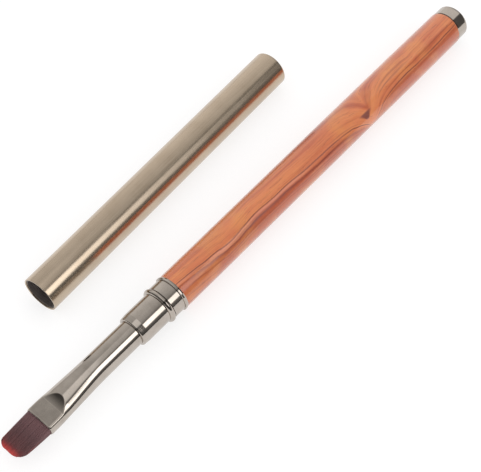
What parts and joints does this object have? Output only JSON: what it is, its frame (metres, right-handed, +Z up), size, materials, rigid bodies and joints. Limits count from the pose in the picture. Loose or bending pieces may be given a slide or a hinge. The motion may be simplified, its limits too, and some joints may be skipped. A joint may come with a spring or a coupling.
{
  "type": "acrylic nail brush",
  "caption": "Flat square-tipped nail brush with a pressed metal ferrule, stepped metal neck and lacquered wood handle, lying uncapped beside its slip-on metal cap.",
  "frame": {"origin": "on the table, below the middle of the bounding box of the brush and its cap", "axes": "+X along the brush from hair to tail, +Y towards the cap, +Z up from the table"},
  "size_m": [0.1442, 0.0318, 0.0086],
  "materials": {
    "hair": "dark red-brown synthetic hair with red translucent tips",
    "thread": "waxed polyester thread",
    "resin": "clear amber epoxy",
    "nickel_plate": "black-nickel plated brass, polished",
    "rosewood": "orange-red figured hardwood under clear lacquer",
    "champagne_metal": "champagne anodised, satin",
    "dark_plastic": "dark plastic sleeve"
  },
  "bodies": {
    "brush": {"bristle_root": "hair", "root_thread": "thread", "glue_plug": "resin", "ferrule": "nickel_plate", "neck_sleeve": "nickel_plate", "collar": "nickel_plate", "handle": "rosewood", "tail_cap": "nickel_plate"},
    "tuft": {"bristle_tuft": "hair"},
    "cap": {"cap_tube": "champagne_metal", "cap_liner": "dark_plastic"}
  },
  "joints": [
    {"name": "tuft_bend", "type": "hinge", "parent": "brush", "child": "tuft", "pos_m": [-0.06525, -0.0116, 0.0043], "axis": [0, 1, 0], "range_deg": [-35, 35], "stiffness_Nm_per_rad": 0.003},
    {"name": "cap_slide", "type": "slide", "parent": "brush", "child": "cap", "axis": [0.9992, 0.0398, 0], "range_m": [0, 0.0414]}
  ]
}
